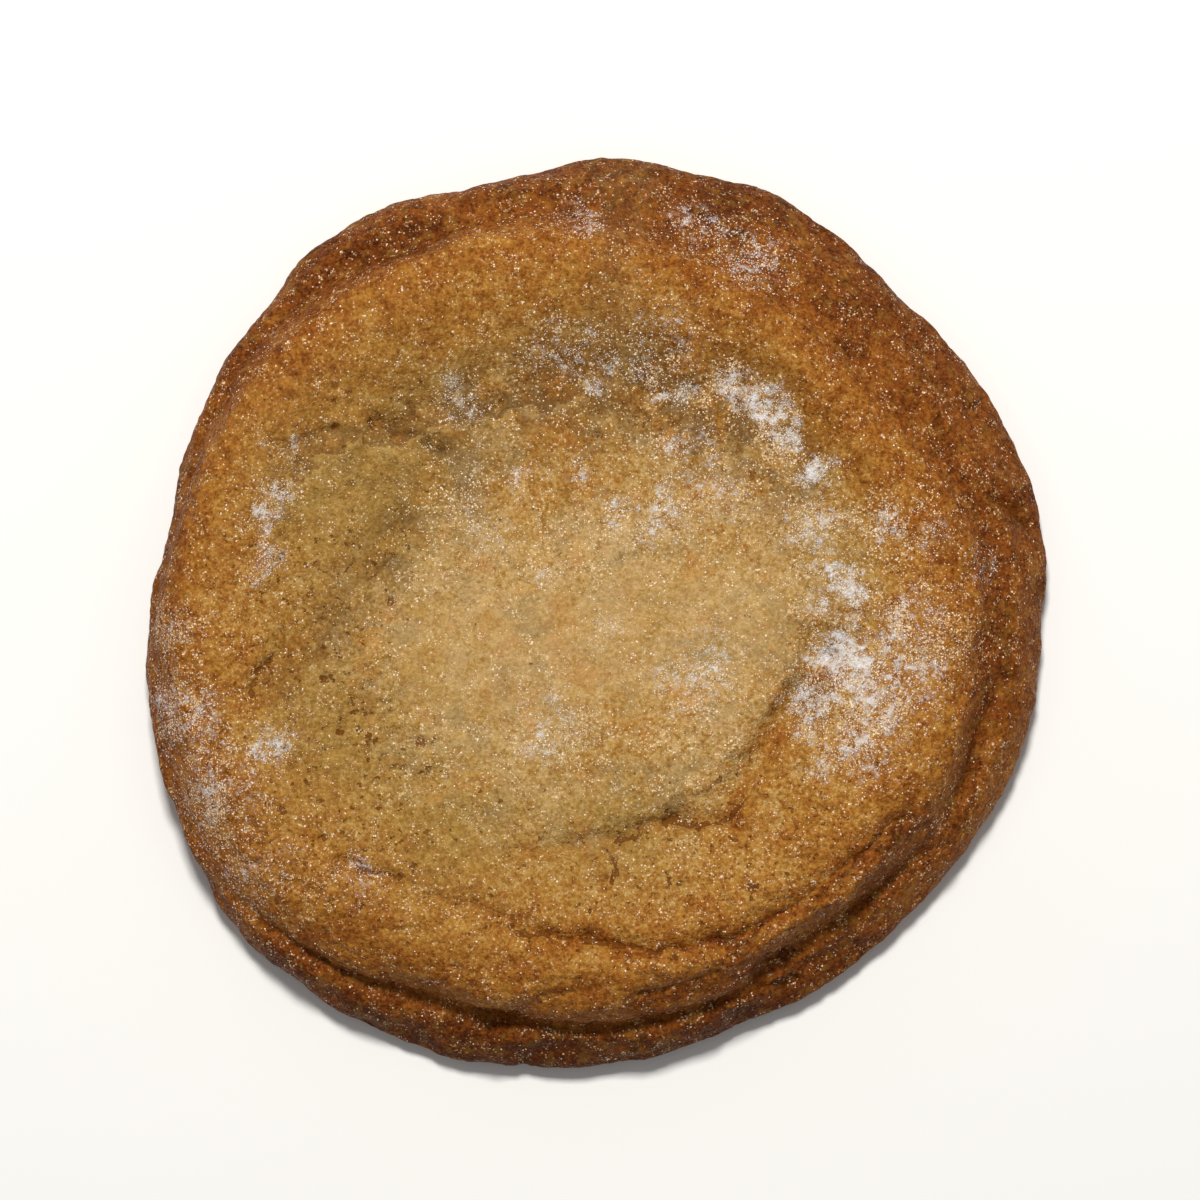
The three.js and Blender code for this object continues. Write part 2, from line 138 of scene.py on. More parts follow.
# Wrinkles: path seen from above, half width, depth.
WRINKLES = [
    ([(-24.3, -25.4), (-19.8, -26.5), (-15.9, -28.4), (-10.9, -30.2), (-6.4, -31.5), (-2.2, -32.8),
      (0.2, -32.8), (4.2, -34), (8.4, -33.9), (12.4, -33.1)], 1.2, 0.6),
    ([(12.5, -33.4), (15.6, -32.6), (18.8, -30.9), (21.9, -28.8), (23.9, -26.8), (25.8, -25.6),
      (28.4, -23.8), (30.9, -21.4)], 1.5, 1),
    ([(23.8, -4.5), (22, -7.1), (20, -10.1), (17.8, -13.5), (15.3, -17.5), (13.1, -20.5)], 1.3, 0.75),
    ([(12.6, -20.7), (8.4, -21), (3.6, -22), (0.5, -23.4), (-3.5, -23.8), (-7.6, -24.5)], 1.15, 0.65),
    ([(-15.4, 15.7), (-17.3, 12), (-19.6, 8.2), (-22.3, 4), (-24.8, 1.3), (-27.6, -1.7),
      (-30.1, -4.3), (-32.6, -7.7)], 2.1, 0.42),
    ([(-20.5, 18.1), (-17.5, 16.5), (-15.6, 15.4)], 1.2, 0.9),
    ([(5.4, -38.6), (9.5, -37.8), (12.5, -36.8), (15.5, -35.8), (19.6, -34.4)], 1.2, 0.65),
    ([(-10, -41.1), (-8.2, -40.5), (-6, -39.5), (-3.4, -38.6), (0.4, -37.8)], 1.1, 0.4),
    ([(30.7, 6.7), (37.7, 3.3)], 1.1, 0.3),
    ([(-24.5, 34.9), (-19.5, 35.9), (-15.6, 36.1)], 1.2, 0.5),
    ([(-19.8, 37.9), (-15.6, 39)], 1.1, 0.4),
    ([(-39.3, -7.9), (-37.3, -13.9)], 1.3, 0.3),
    ([(39.1, -2.9), (37.7, -6.9), (36.6, -9.3)], 1.1, 0.4),
    ([(26.7, -29.6), (32.2, -25.6), (35.7, -23), (37.1, -18.9), (39.1, -13.3), (41.1, -6.9)], 1.1, 0.55),
    ([(17.7, -37.3), (20.6, -35.7), (26.6, -33.7)], 1.1, 0.4),
    ([(14.5, -40.7), (19.6, -38.3)], 1.1, 0.4),
    ([(-6.4, -45.2), (-4.5, -44), (-1.5, -43.6)], 1.1, 0.45),
    ([(-22.3, -41.3), (-19.3, -42.3), (-16.3, -43.7)], 1.1, 0.35),
    ([(40.1, 11.5), (41.8, 9.9), (43.5, 8.4)], 1.1, 0.35),
]  # fmt: skip

# Swells and hollows: x, y, reach, height.
SWELLS = [
    (-3.7, 21.3, 3, 0.4), (-15.7, 14.6, 3.2, 0.5), (-18, 19.8, 3, -0.5), (-24, -5, 6, 0.5),
    (-25.5, 6, 4, 0.4), (8.5, -9.5, 4.5, -0.3), (22.3, -4, 2.4, -0.5), (5, -27, 6, 0.35),
    (25, -26, 3.5, 0.45), (-34, -19, 5, 0.35), (27, 24, 4, -0.3), (30, -12, 5, 0.3),
]  # fmt: skip

# Random unevenness: size of the bumps, height on the ring, height on the skirt.
UNEVENNESS = [(13, 0.28, 0.24), (5.2, 0.22, 0.3), (2.7, 0.15, 0.22)]
UNEVENNESS_SHIFT = (31.7, 12.3, 5.1)

# Short cracks that are too fine for the solid: path seen from above, half width, depth.
CRACKS = [
    ([(2.4, -25.2), (2.9, -26.4), (2.6, -27.3)], 0.35, 0.35),
    ([(-10.5, -31.2), (-6.2, -32.2), (-2.1, -32.5), (2, -33.2), (5.1, -33.6), (9, -33.9)], 0.35, 0.5),
    ([(2.3, -22.9), (5.2, -22)], 0.35, 0.4),
    ([(7.9, -21.4), (12.8, -20.8), (14.8, -19.4)], 0.4, 0.5),
    ([(-23.5, -25.6), (-21, -26.2), (-18.5, -26.4)], 0.35, 0.4),
    ([(-33.4, -8.2), (-33.2, -6.4), (-31, -4.6)], 0.4, 0.5),
    ([(14.4, -38.8), (20.4, -37.3)], 0.6, 0.5),
    ([(40.4, 11.3), (44.4, 8.8)], 0.5, 0.5),
]  # fmt: skip

# Pits that are too fine for the solid: x, y, reach, depth.
PITS = [
    (-25.2, 18, 0.7, 0.6), (-21.4, 18.3, 0.8, 0.8), (-13.4, 19.3, 0.6, 0.6), (0.9, 17, 0.7, 0.7),
    (1.6, 15.1, 0.6, 0.6), (10.1, 13.8, 0.5, 0.5), (13.9, 18.1, 0.5, 0.5), (-19.7, 0.8, 0.8, 0.8),
    (-27.2, 1.3, 0.7, 0.7), (-26.2, -7.1, 1, 0.9), (-23.5, -9, 0.6, 0.6), (-22, -10.5, 0.7, 0.7),
    (-24.7, -12.3, 0.7, 0.7), (-16.7, -13.3, 0.8, 0.8), (-21.7, -15.2, 0.6, 0.7),
    (-20.4, -15, 0.5, 0.6), (-30.2, -20.2, 0.6, 0.6), (-26, -22.8, 0.6, 0.6), (-20.7, -19.8, 0.6, 0.6),
    (-17.2, -25.6, 0.8, 0.8), (-11.2, -29.8, 0.8, 0.7), (-8.2, -33.3, 0.6, 0.6),
    (-25.7, -32.3, 0.7, 0.5), (13.9, -22.8, 0.7, 0.8), (15.9, -27.8, 1.1, 0.9),
    (22.9, -21.5, 0.7, 0.7), (7.9, -27.3, 0.7, 0.6), (5.4, -29.8, 0.7, 0.6), (8.4, -34.5, 0.6, 0.6),
    (23.4, -4.8, 1.3, 0.8), (34.7, 18.8, 0.8, 0.7),
]  # fmt: skip

# Crumbs that are too fine for the solid: size, height.
CRUMBS = [(2.6, 0.11), (1.3, 0.12), (0.8, 0.08)]
CRUMB_SHIFT = (3.3, 41.9, 17.7)
GRIT_SIZE, GRIT_HEIGHT = 0.55, 0.05

# The torn edge of the risen middle: angle, distance from the axis. It shows from 70 to 208 degrees.
TORN_EDGE = [
    (60, 21.3), (89, 20.2), (111, 20.5), (132, 23.7), (140, 25.7), (147, 30), (157, 32.4), (175, 33),
    (190, 33.9), (215, 33),
]  # fmt: skip
LIP_HEIGHT = 0.45
GROOVE_DEPTH, GROOVE_WIDTH, GROOVE_OUTSIDE = 0.25, 0.5, 0.7  # a groove, this far outside the edge

PORES = 1500
PORE_SEED = 7
PORES_TO = 44  # the pores lie within this distance of the axis
WIDEST_PORE = 1.5  # nothing of a pore shows further than this from its place
FULL_TURN = 6.2832  # in radians


# ---- curves and unevenness, on whole arrays ----
def slopes(at, values):
    """The slope at each place: the line through its two neighbours, or to its one neighbour at an end."""
    index = np.arange(len(at))
    before, after = np.maximum(index - 1, 0), np.minimum(index + 1, len(at) - 1)
    return ((values[after] - values[before]).T / (at[after] - at[before])).T


def hermite(p0, p1, v0, v1, s0, s1, at):
    """The cubic from v0 to v1 over p0 to p1 with end slopes s0 and s1."""
    span = p1 - p0
    t = (at - p0) / span
    t2, t3 = t * t, t * t * t
    return (
        (2 * t3 - 3 * t2 + 1) * v0
        + (t3 - 2 * t2 + t) * span * s0
        + (3 * t2 - 2 * t3) * v1
        + (t3 - t2) * span * s1
    )


def around(pairs, degrees):
    """A smooth closed curve through (angle, value) pairs: cubic between two angles, each end's slope
    being the line through its two neighbours."""
    if len(pairs) == 1:
        return np.full(degrees.shape, float(pairs[0][1]))
    last, first = [(a - 360, v) for a, v in pairs[-2:]], [(a + 360, v) for a, v in pairs[:2]]
    angles, values = np.array(last + pairs + first, float).T
    i = np.clip(np.searchsorted(angles, degrees, "left") - 1, 0, len(angles) - 2)
    slope = slopes(angles, values)
    return hermite(angles[i], angles[i + 1], values[i], values[i + 1], slope[i], slope[i + 1], degrees)


def angle_of(x, y):
    """The angle of each place, 0 to 360 degrees: the arc tangent of y over x."""
    return np.degrees(np.arctan2(y, x)) % 360


def section(degrees, at):
    """Radius and height of the smooth crust at each angle and distance over the crust: cubic between
    the lines, and through the middle to the first line's far side."""
    first_at, first_radius, first_height, _ = LINES[0]
    places = np.array([-first_at, 0.0] + [line[0] for line in LINES])
    radii = [np.full(degrees.shape, -float(first_radius[0][1])), np.zeros(degrees.shape)]
    heights = [around(first_height, (degrees + 180) % 360), np.full(degrees.shape, MIDDLE_HEIGHT)]
    for _, radius, height, inset in LINES:
        radii.append(around(radius, degrees) - inset)
        heights.append(around(height, degrees))
    i = np.clip(np.searchsorted(places, at, "left") - 1, 0, len(places) - 2)
    out = []
    for values in (np.stack(radii), np.stack(heights)):
        slope = slopes(places, values)
        picks = ((values, i), (values, i + 1), (slope, i), (slope, i + 1))
        ends = [np.take_along_axis(table, row[None], 0)[0] for table, row in picks]
        out.append(hermite(places[i], places[i + 1], *ends, at))
    return out


def corner(ix, iy, iz):
    """A random number from -1 to 1 for each lattice corner: its three whole numbers, each times a large
    odd number, are folded together and stirred twice by shifting and multiplying."""
    ix, iy, iz = (a.astype(np.int64).astype(np.uint32) for a in (ix, iy, iz))
    h = ix * np.uint32(0x27D4EB2D) ^ iy * np.uint32(0x165667B1) ^ iz * np.uint32(0x1B873593)
    h = (h ^ (h >> np.uint32(15))) * np.uint32(0x2C1B3C6D)
    h = (h ^ (h >> np.uint32(12))) * np.uint32(0x297A2D39)
    h = h ^ (h >> np.uint32(15))
    return h.astype(float) / 0xFFFFFFFF * 2 - 1


def eased(t):
    """0 to 1 by 6t^5 - 15t^4 + 10t^3, level at both ends."""
    return t * t * t * (t * (6 * t - 15) + 10)


def bumps(x, y, z):
    """Random bumps one unit in size: corner values blended smoothly between lattice corners."""
    base = [np.floor(a) for a in (x, y, z)]
    fx, fy, fz = (eased(a - b) for a, b in zip((x, y, z), base))
    total = np.zeros(x.shape)
    for c in range(8):
        a, b, d = c & 1, (c >> 1) & 1, (c >> 2) & 1
        share = (fx if a else 1 - fx) * (fy if b else 1 - fy) * (fz if d else 1 - fz)
        total += share * corner(base[0] + a, base[1] + b, base[2] + d)
    return total


def bumps_of(size, x, y, z, shift):
    """The random bumps at a size, moved by a shift so that two sets of them don't match."""
    return bumps(x / size + shift[0], y / size + shift[1], z / size + shift[2])


def flat_bumps(size, x, y, east=0, north=0, layer=0):
    """The random bumps at a size, as one level layer of them that runs up and down unchanged."""
    return bumps(x / size + east, y / size + north, np.full(x.shape, float(layer)))


def from_path(path, x, y):
    """Distance seen from above to the nearest point of a path of straight stretches."""
    nearest = np.full(x.shape, np.inf)
    for (ax, ay), (bx, by) in zip(path, path[1:]):
        dx, dy = bx - ax, by - ay
        t = np.clip(((x - ax) * dx + (y - ay) * dy) / (dx * dx + dy * dy), 0, 1)
        nearest = np.minimum(nearest, np.hypot(x - ax - t * dx, y - ay - t * dy))
    return nearest


def ramp(a, b, v):
    """0 up to a, 1 from b, smooth between."""
    t = np.clip((v - a) / (b - a), 0, 1)
    return t * t * (3 - 2 * t)


def bell(distance):
    """1 at no distance, falling off by the exponential of minus the distance squared."""
    return np.exp(-(distance**2))


def spot(x, y, cx, cy, reach):
    """1 at a place, falling off as a bell over reach."""
    return np.exp(-((x - cx) ** 2 + (y - cy) ** 2) / reach**2)


def strayed(x, y, size, reach):
    """Places moved sideways by random bumps, so that a path drawn there wanders off its straight line."""
    return x + reach * flat_bumps(size, x, y), y + reach * flat_bumps(size, x, y, 9)


# ---- the shape of the crust ----
def relief(x, y, z, at):
    """How far the crust stands out of its smooth section: bumps, swells and wrinkles, as in the solid."""
    out = np.zeros(x.shape)
    skirt = np.clip((at - SKIRT_FROM) / (SKIRT_TO - SKIRT_FROM), 0, 1)
    for size, on_ring, on_skirt in UNEVENNESS:
        out += (on_ring + skirt * (on_skirt - on_ring)) * bumps_of(size, x, y, z, UNEVENNESS_SHIFT)
    for cx, cy, reach, height in SWELLS:
        out += height * spot(x, y, cx, cy, reach)
    for path, width, depth in WRINKLES:
        out -= depth * bell(from_path(path, x, y) / width)
    return out * np.clip((BASE_AT - at) / (BASE_AT - EDGE_AT), 0, 1)


def crumbly(x, y, at):
    """Where the crust is open and crumbly: the dip at the left, the ring below it and to the right."""
    places = ((-27, 0, 11), (8, -29, 12), (-22, -20, 9), (22, -24, 8))
    open_places = sum(spot(x, y, *place) for place in places)
    return np.clip(0.3 + open_places, 0, 1) * ramp(15, 22, at) * (1 - 0.6 * ramp(40, 44, at))


def smooth_middle(x, y, at):
    """Where the risen middle is baked smooth, most along a band left of and below its centre."""
    places = ((-16, -6), (-10, -5.5), (-4, -5), (2, -4), (8, -2.5), (15, -2.5))
    band = sum(spot(x, y, *place, 5) for place in places)
    return np.clip(0.3 + band, 0, 1) * ramp(23, 17, at)


def crumb_relief(x, y, z, at):
    """Rounded crumbs with sharp creases between them, in three sizes, each the random bumps' distance
    from zero, and a fine grit. They are higher where the crust is crumbly."""
    rough = (0.35 + 0.9 * crumbly(x, y, at)) * (1 - 0.6 * smooth_middle(x, y, at))
    out = np.zeros(x.shape)
    for size, height in CRUMBS:
        out += height * rough * (2 * abs(bumps_of(size, x, y, z, CRUMB_SHIFT)) - 0.6)
    return out + GRIT_HEIGHT * rough * bumps_of(GRIT_SIZE, x, y, z, CRUMB_SHIFT)


def torn_edge(x, y):
    """Signed distance inwards from the torn edge of the risen middle, and how far it shows: the edge's
    distance from the axis at an angle, less the place's own, shaken by random bumps of two sizes."""
    degrees = angle_of(x, y)
    shaken = 1.1 * flat_bumps(2.6, x, y, 4, 0, 2) + 0.7 * flat_bumps(1.1, x, y, 8, 0, 6)
    shows = ramp(70, 100, degrees) * ramp(208, 194, degrees)
    return around(TORN_EDGE, degrees) + shaken - np.hypot(x, y), shows


def torn_relief(x, y):
    """The torn edge: how high it stands as a step up to a lip that dies away inwards, and how deep an
    uneven groove runs outside it. Both are lower where the edge opens out at the left."""
    inwards, shows = torn_edge(x, y)
    steep = shows * (1 - 0.6 * ramp(140, 160, angle_of(x, y)))
    lip = LIP_HEIGHT * steep * ramp(-0.45, 0.45, inwards) * ramp(6, 1, inwards)
    groove = GROOVE_DEPTH * steep * bell((inwards + GROOVE_OUTSIDE) / GROOVE_WIDTH)
    return lip, groove * (1 + flat_bumps(3, x, y))


def pores(x, y, at, wobble):
    """How deep the small pores go: each a bell at a random place, longer one way than the other and
    turned at random, with a ragged rim. Most are small, and fewer are kept where the crust is closed."""
    rng = np.random.default_rng(PORE_SEED)
    turn, far, lot, sizes, depths, tilts = rng.uniform(0, 1, (6, PORES))
    px = PORES_TO * np.sqrt(far) * np.cos(FULL_TURN * turn)
    py = PORES_TO * np.sqrt(far) * np.sin(FULL_TURN * turn)
    kept = lot < 0.15 + 0.85 * crumbly(px, py, np.hypot(px, py))
    out, top = np.zeros(x.shape), at < 50
    for cx, cy, size, depth, tilt in zip(*(a[kept] for a in (px, py, sizes, depths, tilts))):
        close = top & (abs(x - cx) < WIDEST_PORE) & (abs(y - cy) < WIDEST_PORE)
        dx, dy = x[close] - cx, y[close] - cy
        cos, sin = math.cos(FULL_TURN * tilt), math.sin(FULL_TURN * tilt)
        reach = 0.24 + 0.28 * size**3
        away = np.hypot(dx * cos + dy * sin, 1.6 * (dy * cos - dx * sin))
        out[close] += (0.08 + 0.3 * depth * size) * bell(away * wobble[close] / reach)
    return out


def fine_relief(x, y, z, at):
    """The relief that is too fine for the solid: crumbs, the torn edge, creases along the wrinkles,
    cracks, pits and pores. Returns how far it stands out, and how deep in a crack or pit each point
    lies. All widths are times a random wobble, which makes ragged rims."""
    lip, groove = torn_relief(x, y)
    out = crumb_relief(x, y, z, at) + lip - groove
    wobble = 1 + 0.5 * bumps_of(0.9, x, y, z, (9.1, 1.7, 0)) + 0.35 * bumps_of(0.45, x, y, z, (9.1, 0, 0))
    sideways = strayed(x, y, 2.1, 0.6)
    for path, _, depth in WRINKLES:
        out -= 0.24 * depth * bell(from_path(path, *sideways) * wobble / 0.4)
    pit = np.zeros(x.shape)
    for path, width, depth in CRACKS:
        pit += depth * bell(from_path(path, *sideways) * wobble / width)
    for cx, cy, reach, depth in PITS:
        away = np.hypot(x - cx, y - cy) / (0.65 * reach) + 0.9 * (wobble - 1)
        pit += 0.6 * depth * ramp(1.3, 0.3, away)
    fading = np.clip((BASE_AT - at) / FINE_FADE, 0, 1)
    return (out - pit - pores(x, y, at, wobble)) * fading, pit


def crust_points(degrees, at):
    """Points of the crust at these angles and distances over the crust: the smooth section, moved out
    along its own normal by the relief. Also how deep in a pit each lies."""
    angle, step = np.radians(degrees), 0.05
    radius, height = section(degrees, at)
    radius_on, height_on = section(degrees, at + step)
    outwards, upwards = radius_on - radius, height_on - height
    length = np.hypot(outwards, upwards)
    x, y = radius * np.cos(angle), radius * np.sin(angle)
    fine, pit = fine_relief(x, y, height, at)
    lift = relief(x, y, height, at) + fine
    r, z = radius - lift * upwards / length, height + lift * outwards / length
    return np.stack([r * np.cos(angle), r * np.sin(angle), np.maximum(z, 0)], 1), pit


def fan_row(row, first):
    """The triangles between one row of facets and the row inside it, which has 6 facets fewer: in each
    of the 6 sectors, every outer facet has a triangle and every inner one fills a gap between two."""
    count, inside = FACETS_PER_ROW * row, max(FACETS_PER_ROW * (row - 1), 1)
    sector, j = np.divmod(np.arange(count), row)
    a, b = sector * (row - 1) + j, np.arange(count)
    gap = j < row - 1
    inner, outer = first[row - 1], first[row]
    on_outer = [inner + a % inside, outer + b, outer + (b + 1) % count]
    on_inner = [inner + a[gap] % inside, outer + (b[gap] + 1) % count, inner + (a[gap] + 1) % inside]
    return [np.stack(on_outer, 1), np.stack(on_inner, 1)]


def band(above, below, columns):
    """Two triangles for each facet between two rows of the same length."""
    here = np.arange(columns)
    there = (here + 1) % columns
    upper = np.stack([above + here, below + here, below + there], 1)
    return [upper, np.stack([above + here, below + there, above + there], 1)]


def crust_mesh():
    """The whole skin: rows of 6 more facets each out to the widest edge, rows down the side, a flat
    underside. Returns points, faces, the distance over the crust of each point, and how deep in a pit
    it lies."""
    rows = np.arange(RING_ROWS + 1)
    counts = np.where(rows == 0, 1, FACETS_PER_ROW * rows)
    first = np.concatenate([[0], np.cumsum(counts)])
    row_of = np.repeat(rows, counts)
    columns = FACETS_PER_ROW * RING_ROWS
    over_top = EDGE_AT * (row_of / RING_ROWS) ** ROW_CROWDING
    down_side = EDGE_AT + (BASE_AT - EDGE_AT) * np.arange(1, SIDE_ROWS + 1) / SIDE_ROWS
    at = np.concatenate([over_top, np.repeat(down_side, columns)])
    turns = 360 * (np.arange(len(row_of)) - first[row_of]) / counts[row_of]
    degrees = np.concatenate([turns, np.tile(360 * np.arange(columns) / columns, SIDE_ROWS)])
    points, pit = crust_points(degrees, at)

    faces = []
    for row in range(1, RING_ROWS + 1):
        faces += fan_row(row, first)
    above = first[RING_ROWS]
    for row in range(SIDE_ROWS):
        below = first[RING_ROWS + 1] + row * columns
        faces += band(above, below, columns)
        above = below

    rim = points[above : above + columns]
    inset = rim * (1, 1, 0) * (1 - BASE_INSET / np.hypot(rim[:, 0], rim[:, 1]))[:, None]
    below, centre = len(points), len(points) + columns
    faces += band(above, below, columns)
    here = np.arange(columns)
    faces.append(np.stack([np.full(columns, centre), below + (here + 1) % columns, below + here], 1))
    points = np.concatenate([points, inset, [[0, 0, 0]]])
    at = np.concatenate([at, np.full(columns + 1, BASE_AT + 1)])
    pit = np.concatenate([pit, np.zeros(columns + 1)])
    points -= [*(points.min(0) + points.max(0))[:2] / 2, points[:, 2].min()]
    return points, np.concatenate(faces), at, pit


def mesh_object(name, points, faces):
    """A shown mesh of these points in metres, at the origin."""
    mesh = bpy.data.meshes.new(name)
    mesh.vertices.add(len(points))
    mesh.vertices.foreach_set("co", np.asarray(points, np.float32).ravel())
    mesh.loops.add(faces.size)
    mesh.loops.foreach_set("vertex_index", faces.astype(np.int32).ravel())
    mesh.polygons.add(len(faces))
    mesh.polygons.foreach_set("loop_start", np.arange(0, faces.size, 3, dtype=np.int32))
    mesh.update(calc_edges=True)
    mesh.validate()
    return shown(name, mesh)


def shown(name, data):
    """An object of this data, put in the scene."""
    obj = bpy.data.objects.new(name, data)
    bpy.context.scene.collection.objects.link(obj)
    return obj


def paint(mesh, name, values):
    """Stores one number for each point of the mesh, for the material to read."""
    layer = mesh.attributes.new(name, "FLOAT", "POINT")
    layer.data.foreach_set("value", np.asarray(values, np.float32))


# ---- how the colour lies ----
# How far the crust is browned: distance over the crust, browning.
BROWNING = [
    (0, 0.02), (17, 0.08), (23, 0.23), (28, 0.36), (33, 0.45), (38, 0.56), (42, 0.72), (47, 0.8),
    (51, 0.84), (54, 0.84), (56, 0.7),
]  # fmt: skip
# And how much more, on the ring and on the rim of the skirt: angle, browning. On the rim it is
# partly painted shade, darker at the bottom, and partly painted light, paler at the right and lower right.
BROWNING_OF_RING = [
    (0, 0.09), (30, 0.09), (60, 0.09), (90, 0.1), (120, 0.07), (150, 0.06), (180, 0.01), (210, 0),
    (240, 0), (270, 0.01), (300, 0.02), (330, 0.01),
]  # fmt: skip
# Rim: painted shade at the bottom, painted light at the right and lower right.
RIM_BROWNING_AND_SHADE = [
    (0, -0.14), (60, -0.03), (90, -0.03), (125, -0.08), (150, -0.02), (180, -0.06), (240, 0.08),
    (280, 0.08), (305, -0.05), (330, -0.2),
]  # fmt: skip

# Places that are browned more, or less, with painted shade in the dip under the ring's upper inner
# wall: x, y, reach, how much.
BROWNED_AND_SHADED = [
    (3, -12.5, 6, 0.17), (-2.5, 20.5, 4, 0.12), (2, -31, 6, 0.06), (-9, 11, 8, 0.16),
    (-3.6, 22.5, 4, 0.24), (-4, 16, 4, 0.08), (-15, 4, 4, -0.08), (4, 15, 7, 0.12), (14, 19, 6, 0.1),
    (12, 11, 6, 0.12), (26, -16, 4, 0.1), (2, 31, 6, -0.05), (20, -31, 6, -0.08), (10, -35, 5, -0.06),
]  # fmt: skip

# Where the crumb is damp and greenish: x, y, reach.
OLIVE = [
    (-24, 10, 10), (-26, -12, 8), (-14, -22, 8), (2, -21.5, 6), (-18, 21, 7), (-28, 14, 6),
    (-2, 25, 6), (24, 4, 4),
]  # fmt: skip

# Where the crust is darker, partly damp crumb and partly painted shade in the dip under the ring's
# upper inner wall and along the folds: x, y, reach, strength.
DAMP_AND_SHADE = [
    (-13, 20, 5, 0.8), (-5, 22, 6, 0.8), (4, 22.5, 6, 0.85), (10, 20.5, 6, 0.8), (15, 17.5, 5.5, 0.7),
    (19, 13, 5, 0.7), (24.5, -3, 3, 0.8), (21, -9, 2.5, 0.7), (-20.9, 17.6, 1, 0.9),
    (-15.9, 16.5, 1.4, 1), (-17, 19.4, 2.6, 1), (-24, 15.5, 2.5, 0.3), (-19.5, 8.5, 2.5, 1),
    (-21, 3.5, 2.7, 1), (-24.5, 0, 2.4, 0.6), (-28, -3, 2.7, 1), (-31.5, -7.8, 2.4, 0.5),
    (-13.5, 11, 3, 0.7),
]  # fmt: skip

# Patches of fine white sugar: x, y, reach, strength.
POWDER = [
    (25.2, -4.8, 2.8, 1), (26, -9, 2.2, 0.8), (29.8, -3, 2.4, 0.5), (28, -11, 2.2, 0.48),
    (23.3, -14.8, 2.2, 0.55), (24.6, 1.2, 2.2, 0.65), (21.3, -9, 2.3, 0.62), (20.3, -12.5, 1.7, 0.42),
    (32, -7, 3, 0.35), (26, -14, 2.6, 0.4), (31, 0.5, 2.6, 0.3), (3.8, 23.6, 1.6, 0.45),
    (7.3, 20.8, 1.4, 0.5), (14.3, 21.8, 1.6, 0.64), (16.3, 20.8, 1.5, 0.62), (17.8, 19.3, 1.5, 0.62),
    (19.8, 16.8, 1.6, 0.5), (22.1, 12.2, 1.5, 0.74), (23.8, 8.2, 1.6, 0.5), (21.3, 7.2, 1.6, 0.5),
    (18.8, 6.8, 1.8, 0.4), (28.5, 7.3, 2, 0.35), (32.8, 6.3, 2, 0.3), (38.3, 3.3, 2, 0.18),
    (-2, 26.5, 2.8, 0.28), (-5, 24, 2.2, 0.25), (6, 27, 4, 0.2), (-14.5, 20.5, 2.4, 0.3),
    (0.5, 23.5, 2.3, 0.32), (-30.6, 16.2, 1.6, 0.45), (-32.5, 8.4, 1.5, 0.65), (-31.4, 12, 1.6, 0.45),
    (-33.3, 4.8, 1.8, 0.5), (-42, -9.3, 3, 0.26), (-39, -11.8, 2.8, 0.26), (-41, -2.8, 2.8, 0.24),
    (-30.6, -12.3, 1.8, 0.45), (-32, -14.8, 2, 0.45), (-37.6, -18.8, 4, 0.3), (-34, -25.5, 4, 0.2),
    (-23.5, -27.3, 2.2, 0.3), (-1.6, 38.7, 2.4, 0.28), (10, 38.5, 3, 0.28), (15.5, 35.3, 3, 0.32),
    (19, 38, 2.5, 0.22), (-7.6, 13.2, 1.4, 0.6), (-2.1, 14.2, 1.4, 0.5), (-4.6, 3.7, 1.6, 0.4),
    (2.3, 9.2, 2.4, 0.42), (6.8, 8.7, 3, 0.4), (1.3, -2.8, 1.6, 0.4), (9, 15, 3, 0.25),
    (13, 11, 3.5, 0.27), (29, -7, 5, 0.38), (27, -12.5, 4, 0.28), (10, -7, 4.5, 0.28),
    (23, 3, 3.5, 0.34), (-4, -12, 4, 0.25), (-12, 8, 4, 0.18),
]  # fmt: skip

# Where the crust glitters with grains of sugar: x, y, reach, density.
GLITTER = [
    (-4, 26, 5, 0.6), (5, 24, 4, 0.75), (12, 21.5, 4, 0.85), (18.5, 16.5, 4, 0.85), (29, 7.5, 5, 0.85),
    (25, 1.5, 5, 0.8), (32, -3, 6, 0.9), (25, -9, 6, 1), (27, -14, 4, 0.6), (8, -8, 5, 0.65),
    (2, 8, 6, 0.6), (-5, 14, 6, 0.4), (-33, 8, 4, 0.75), (-40, -1, 5, 0.75), (-41, -11, 5, 0.8),
    (-38, -20, 7, 0.8), (-31, -30, 6, 0.65), (-33, -10, 4, 0.5), (15, 37, 6, 0.6), (24, 32, 5, 0.5),
    (-20, -28, 4, 0.45), (36, 2, 5, 0.5), (0, -16, 7, 0.45), (-15, 21, 4, 0.4), (8, 15, 5, 0.42),
]  # fmt: skip


